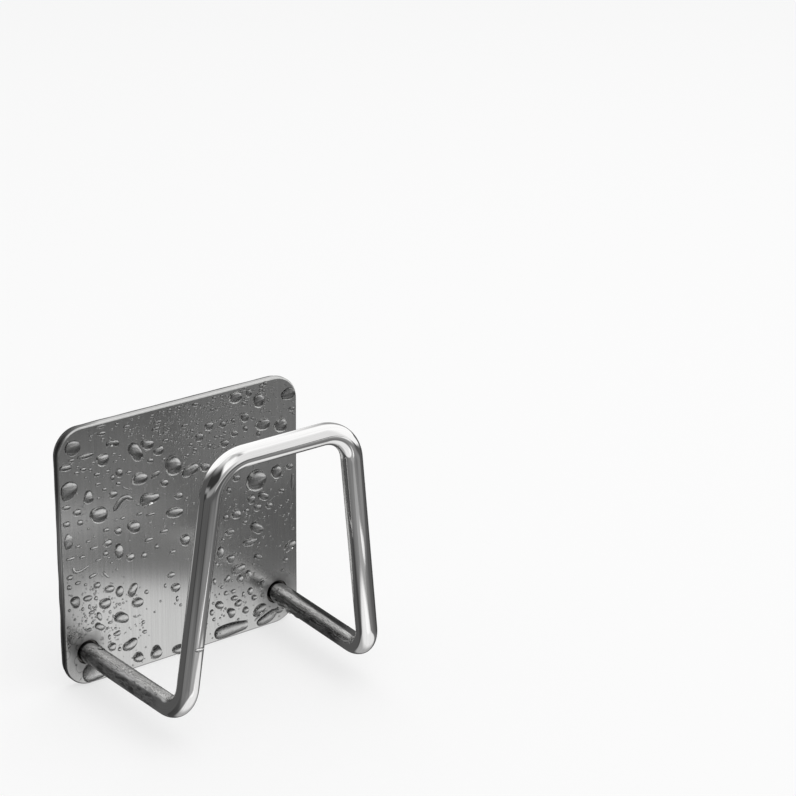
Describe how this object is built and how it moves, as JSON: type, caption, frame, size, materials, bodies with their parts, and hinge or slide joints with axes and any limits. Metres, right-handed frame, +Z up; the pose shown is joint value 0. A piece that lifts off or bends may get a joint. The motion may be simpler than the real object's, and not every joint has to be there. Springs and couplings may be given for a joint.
{
  "type": "sponge holder",
  "caption": "Adhesive wall holder for a kitchen sponge: a brushed steel back plate with a bent wire cradle welded through it and a thin foam pad behind.",
  "frame": {"origin": "centre of the adhesive pad's wall side", "axes": "+X to the right along the wall, +Y into the wall, +Z up; the cradle stands out along -Y"},
  "size_m": [0.065, 0.0455, 0.0695],
  "materials": {
    "plate_steel": "stainless sheet with a fine upright brushed grain",
    "wire_steel": "drawn and polished stainless wire",
    "weld_metal": "ground weld bead",
    "adhesive": "clear grey acrylic adhesive",
    "foam": "black closed-cell foam"
  },
  "bodies": {
    "root": {"back_plate": "plate_steel", "wire_cradle": "wire_steel", "left_weld": "weld_metal", "right_weld": "weld_metal", "plate_film": "adhesive", "foam_core": "foam", "wall_film": "adhesive"}
  },
  "joints": []
}
